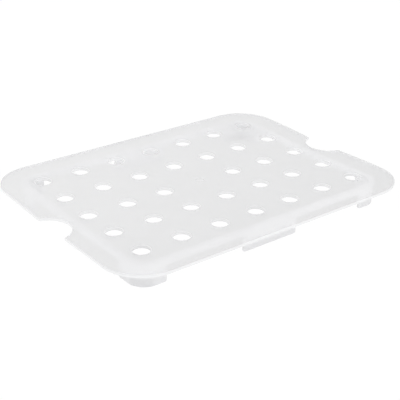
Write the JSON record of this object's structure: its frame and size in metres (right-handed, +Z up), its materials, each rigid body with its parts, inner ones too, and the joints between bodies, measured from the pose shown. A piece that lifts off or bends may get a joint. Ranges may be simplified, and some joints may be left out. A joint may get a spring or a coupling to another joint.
{
  "type": "drain shelf",
  "caption": "Perforated drain shelf for the floor of a food pan: a flat deck with round drain holes and a rim with finger notches, on a short skirt with feet.",
  "frame": {"origin": "middle of the footprint, on the surface that the feet stand on", "axes": "+X along the length, +Y across the width to the rear, +Z up out of the deck"},
  "size_m": [0.269, 0.204, 0.0195],
  "materials": {
    "plate_plastic": "translucent natural polypropylene, satin moulded surface"
  },
  "bodies": {
    "root": {"drain_deck": "plate_plastic", "front_flange": "plate_plastic", "rear_flange": "plate_plastic", "left_flange": "plate_plastic", "right_flange": "plate_plastic", "front_left_foot": "plate_plastic", "front_right_foot": "plate_plastic", "rear_left_foot": "plate_plastic", "rear_right_foot": "plate_plastic", "front_middle_foot": "plate_plastic", "rear_middle_foot": "plate_plastic", "front_left_skirt": "plate_plastic", "front_right_skirt": "plate_plastic", "rear_left_skirt": "plate_plastic", "rear_right_skirt": "plate_plastic", "left_skirt": "plate_plastic", "right_skirt": "plate_plastic"}
  },
  "joints": []
}
